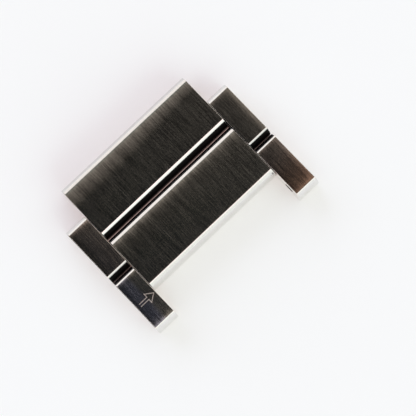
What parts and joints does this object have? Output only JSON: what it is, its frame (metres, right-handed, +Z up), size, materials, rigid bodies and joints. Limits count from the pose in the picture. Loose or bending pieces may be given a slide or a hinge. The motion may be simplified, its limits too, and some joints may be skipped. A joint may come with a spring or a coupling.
{
  "type": "watch bracelet link section",
  "caption": "Section of a three-row solid-link steel watch bracelet: wide centre links and narrow side links, hinged on cross pins held by friction collars.",
  "frame": {"origin": "middle of the bracelet section in plan, on its outer face, which it rests on", "axes": "+X along the bracelet from the free centre link to the free side links, +Y along the pins from the arrow's side to the other side, +Z up, from the outer face to the inner face"},
  "size_m": [0.0174, 0.022, 0.0025],
  "materials": {
    "centre_link_steel": "brushed along the bracelet, polished round ends",
    "side_link_steel": "brushed along the bracelet, polished ends and side faces",
    "pin_steel": "ground and drawn bright",
    "collar_steel": "turned"
  },
  "bodies": {
    "rear_centre": {"centre_link_rear": "centre_link_steel", "link_pin_middle": "pin_steel", "link_pin_rear": "pin_steel", "pin_collar_middle": "collar_steel", "pin_collar_rear": "collar_steel"},
    "front_sides": {"side_link_left_front": "side_link_steel", "side_link_right_front": "side_link_steel"},
    "front_centre": {"centre_link_front": "centre_link_steel", "link_pin_front": "pin_steel", "pin_collar_front": "collar_steel"},
    "left_rear_side": {"side_link_left_rear": "side_link_steel"},
    "right_rear_side": {"side_link_right_rear": "side_link_steel"}
  },
  "joints": [
    {"name": "middle_hinge", "type": "hinge", "parent": "rear_centre", "child": "front_sides", "pos_m": [0, 0, 0.00125], "axis": [0, 1, 0], "range_deg": [-5, 90]},
    {"name": "front_hinge", "type": "hinge", "parent": "front_sides", "child": "front_centre", "pos_m": [-0.0035, 0, 0.00125], "axis": [0, 1, 0], "range_deg": [-5, 90]},
    {"name": "left_rear_hinge", "type": "hinge", "parent": "rear_centre", "child": "left_rear_side", "pos_m": [0.0035, -0.0097, 0.00125], "axis": [0, -1, 0], "range_deg": [-5, 90]},
    {"name": "right_rear_hinge", "type": "hinge", "parent": "rear_centre", "child": "right_rear_side", "pos_m": [0.0035, 0.0097, 0.00125], "axis": [0, -1, 0], "range_deg": [-5, 90]}
  ]
}
